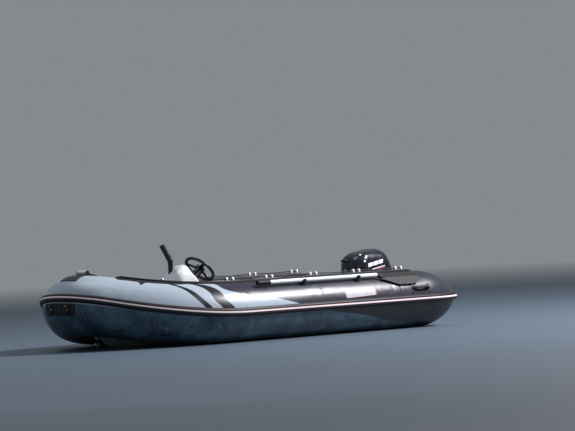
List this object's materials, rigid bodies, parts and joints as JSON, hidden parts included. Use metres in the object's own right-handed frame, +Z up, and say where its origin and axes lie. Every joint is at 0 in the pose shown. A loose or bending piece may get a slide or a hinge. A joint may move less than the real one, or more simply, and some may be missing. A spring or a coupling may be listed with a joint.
{
  "type": "rigid inflatable boat with outboard motor",
  "caption": "Small rigid inflatable boat afloat: air collar on a V hull, steering console, jockey seat, oars and a tilting, steering outboard motor.",
  "frame": {"origin": "on the centreline at the waterline, at the outer face of the transom", "axes": "+X aft towards the motor, -Y port, +Z up"},
  "size_m": [3.5173, 1.7712, 1.2533],
  "materials": {
    "tube_fabric": "matt coated fabric",
    "black_rubber": "matt rubber",
    "pale_vinyl": "satin vinyl",
    "black_plastic": "moulded, satin",
    "white_plastic": "moulded, gloss",
    "rope": "braided",
    "gelcoat": "glass-reinforced plastic with gloss gelcoat",
    "deck_gelcoat": "non-skid gelcoat",
    "stainless": "polished stainless steel",
    "plywood": "painted board",
    "seat_vinyl": "padded vinyl",
    "motor_paint": "satin enamel",
    "motor_alloy": "satin enamel on cast aluminium",
    "propeller_alloy": "gloss enamel on aluminium",
    "engine_iron": "hidden"
  },
  "bodies": {
    "boat": {"tube_port": "tube_fabric", "tube_starboard": "tube_fabric", "tube_bow": "tube_fabric", "rub_strake": "black_rubber", "strake_stripe": "pale_vinyl", "wear_strips": "black_rubber", "lifeline_eyelets": "white_plastic", "lifelines": "rope", "stern_handles": "black_rubber", "tow_patches": "black_rubber", "tow_rings": "stainless", "valves": "black_plastic", "hull": "gelcoat", "keel_strip": "black_rubber", "deck": "deck_gelcoat", "transom": "plywood", "transom_pads": "black_plastic", "stern_eyes": "stainless", "bow_eye": "stainless", "drains": "black_plastic", "bow_locker": "gelcoat", "locker_hinge": "stainless", "console": "gelcoat", "helm": "black_plastic", "display": "black_plastic", "throttle_box": "black_plastic", "throttle_lever": "black_plastic", "seat_base": "gelcoat", "seat_cushion": "seat_vinyl", "oar_port": "white_plastic", "oar_starboard": "white_plastic", "oar_clips": "black_plastic", "fairlead": "black_plastic", "bow_roller": "white_plastic", "clamp_bracket": "motor_alloy", "clamp_screws": "stainless", "tilt_tube": "stainless"},
    "motor_tilt": {"swivel_bracket": "motor_alloy"},
    "motor_steer": {"steer_yoke": "motor_alloy", "leg": "motor_alloy", "gearcase": "motor_alloy", "cowl_pan": "motor_paint", "cowl_seal": "black_rubber", "cowl": "motor_paint", "powerhead": "engine_iron"},
    "propeller": {"propeller": "propeller_alloy"},
    "steering_ram": {"steering_ram": "stainless"},
    "steering_wheel": {"steering_wheel": "black_plastic"},
    "locker_lid": {"locker_lid": "deck_gelcoat"}
  },
  "joints": [
    {"name": "engine_tilt", "type": "hinge", "parent": "boat", "child": "motor_tilt", "pos_m": [0.015, 0, 0.282], "axis": [0, -1, 0], "range_deg": [0, 65]},
    {"name": "engine_steer", "type": "hinge", "parent": "motor_tilt", "child": "motor_steer", "pos_m": [0.088, 0, 0.28], "axis": [0, 0, 1], "range_deg": [-35, 35]},
    {"name": "propeller_spin", "type": "hinge", "parent": "motor_steer", "child": "propeller", "pos_m": [0.41, 0, -0.33], "axis": [1, 0, 0], "continuous": true},
    {"name": "ram_slide", "type": "slide", "parent": "motor_tilt", "child": "steering_ram", "axis": [0, 1, 0], "range_m": [-0.056, 0.056]},
    {"name": "wheel_turn", "type": "hinge", "parent": "boat", "child": "steering_wheel", "pos_m": [-1.606, 0, 0.556], "axis": [0.7071, 0, 0.7071], "range_deg": [-530, 530]},
    {"name": "lid_hinge", "type": "hinge", "parent": "boat", "child": "locker_lid", "pos_m": [-2.43587, 0, 0.307], "axis": [0, -1, 0], "range_deg": [0, 95]}
  ],
  "couplings": [
    {"joint": "wheel_turn", "follows": "engine_steer", "ratio": -15},
    {"joint": "ram_slide", "follows": "engine_steer", "m_per_rad": -0.0901}
  ]
}
